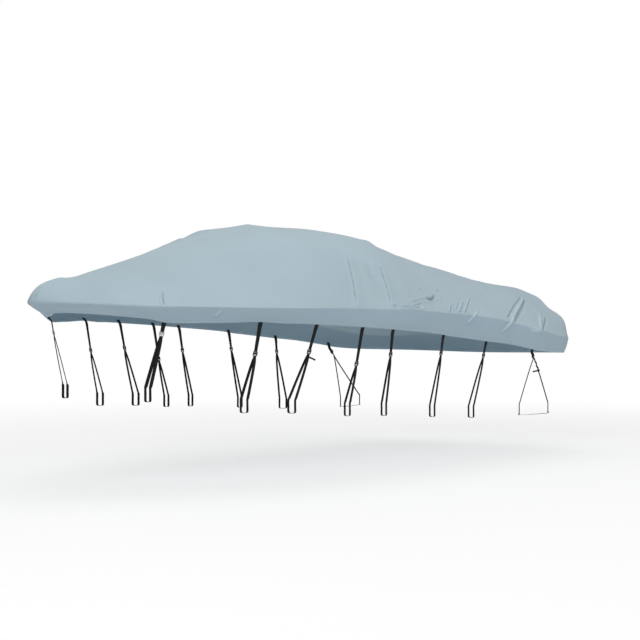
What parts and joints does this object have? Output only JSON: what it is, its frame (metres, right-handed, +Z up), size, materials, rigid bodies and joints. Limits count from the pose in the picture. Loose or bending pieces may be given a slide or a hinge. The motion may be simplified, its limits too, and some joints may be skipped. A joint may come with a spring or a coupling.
{
  "type": "boat cover",
  "caption": "Fitted cloth cover for a small open motor boat: ramped bow, raised crown, sloping stern, turned-under skirt and webbing ties with buckles along the hem.",
  "frame": {"origin": "on the cloth's underside at the crown, on the centreline, where the windscreen holds it up", "axes": "+X towards the stern, +Z up, -Y to port"},
  "size_m": [5.56, 2.2901, 1.5301],
  "materials": {
    "cloth": "matt coated woven polyester, pale grey-blue",
    "webbing": "matt black flat webbing",
    "buckle": "moulded black with a slight sheen"
  },
  "bodies": {
    "root": {"cover_cloth": "cloth", "hanger_port_bow": "webbing", "buckle_port_bow": "buckle", "tie_port_bow": "webbing", "hanger_port_fore_a": "webbing", "buckle_port_fore_a": "buckle", "tie_port_fore_a": "webbing", "hanger_port_fore_b": "webbing", "buckle_port_fore_b": "buckle", "tie_port_fore_b": "webbing", "hanger_port_mid_a": "webbing", "buckle_port_mid_a": "buckle", "tie_port_mid_a": "webbing", "hanger_port_mid_b": "webbing", "buckle_port_mid_b": "buckle", "tie_port_mid_b": "webbing", "hanger_port_mid_c": "webbing", "buckle_port_mid_c": "buckle", "tie_port_mid_c": "webbing", "hanger_port_aft_a": "webbing", "buckle_port_aft_a": "buckle", "tie_port_aft_a": "webbing", "hanger_port_aft_b": "webbing", "buckle_port_aft_b": "buckle", "tie_port_aft_b": "webbing", "hanger_starboard_bow": "webbing", "buckle_starboard_bow": "buckle", "tie_starboard_bow": "webbing", "hanger_starboard_fore_a": "webbing", "buckle_starboard_fore_a": "buckle", "tie_starboard_fore_a": "webbing", "hanger_starboard_fore_b": "webbing", "buckle_starboard_fore_b": "buckle", "tie_starboard_fore_b": "webbing", "hanger_starboard_mid_a": "webbing", "buckle_starboard_mid_a": "buckle", "tie_starboard_mid_a": "webbing", "hanger_starboard_mid_b": "webbing", "buckle_starboard_mid_b": "buckle", "tie_starboard_mid_b": "webbing", "hanger_starboard_mid_c": "webbing", "buckle_starboard_mid_c": "buckle", "tie_starboard_mid_c": "webbing", "hanger_starboard_aft_a": "webbing", "buckle_starboard_aft_a": "buckle", "tie_starboard_aft_a": "webbing", "hanger_starboard_aft_b": "webbing", "buckle_starboard_aft_b": "buckle", "tie_starboard_aft_b": "webbing"}
  },
  "joints": []
}
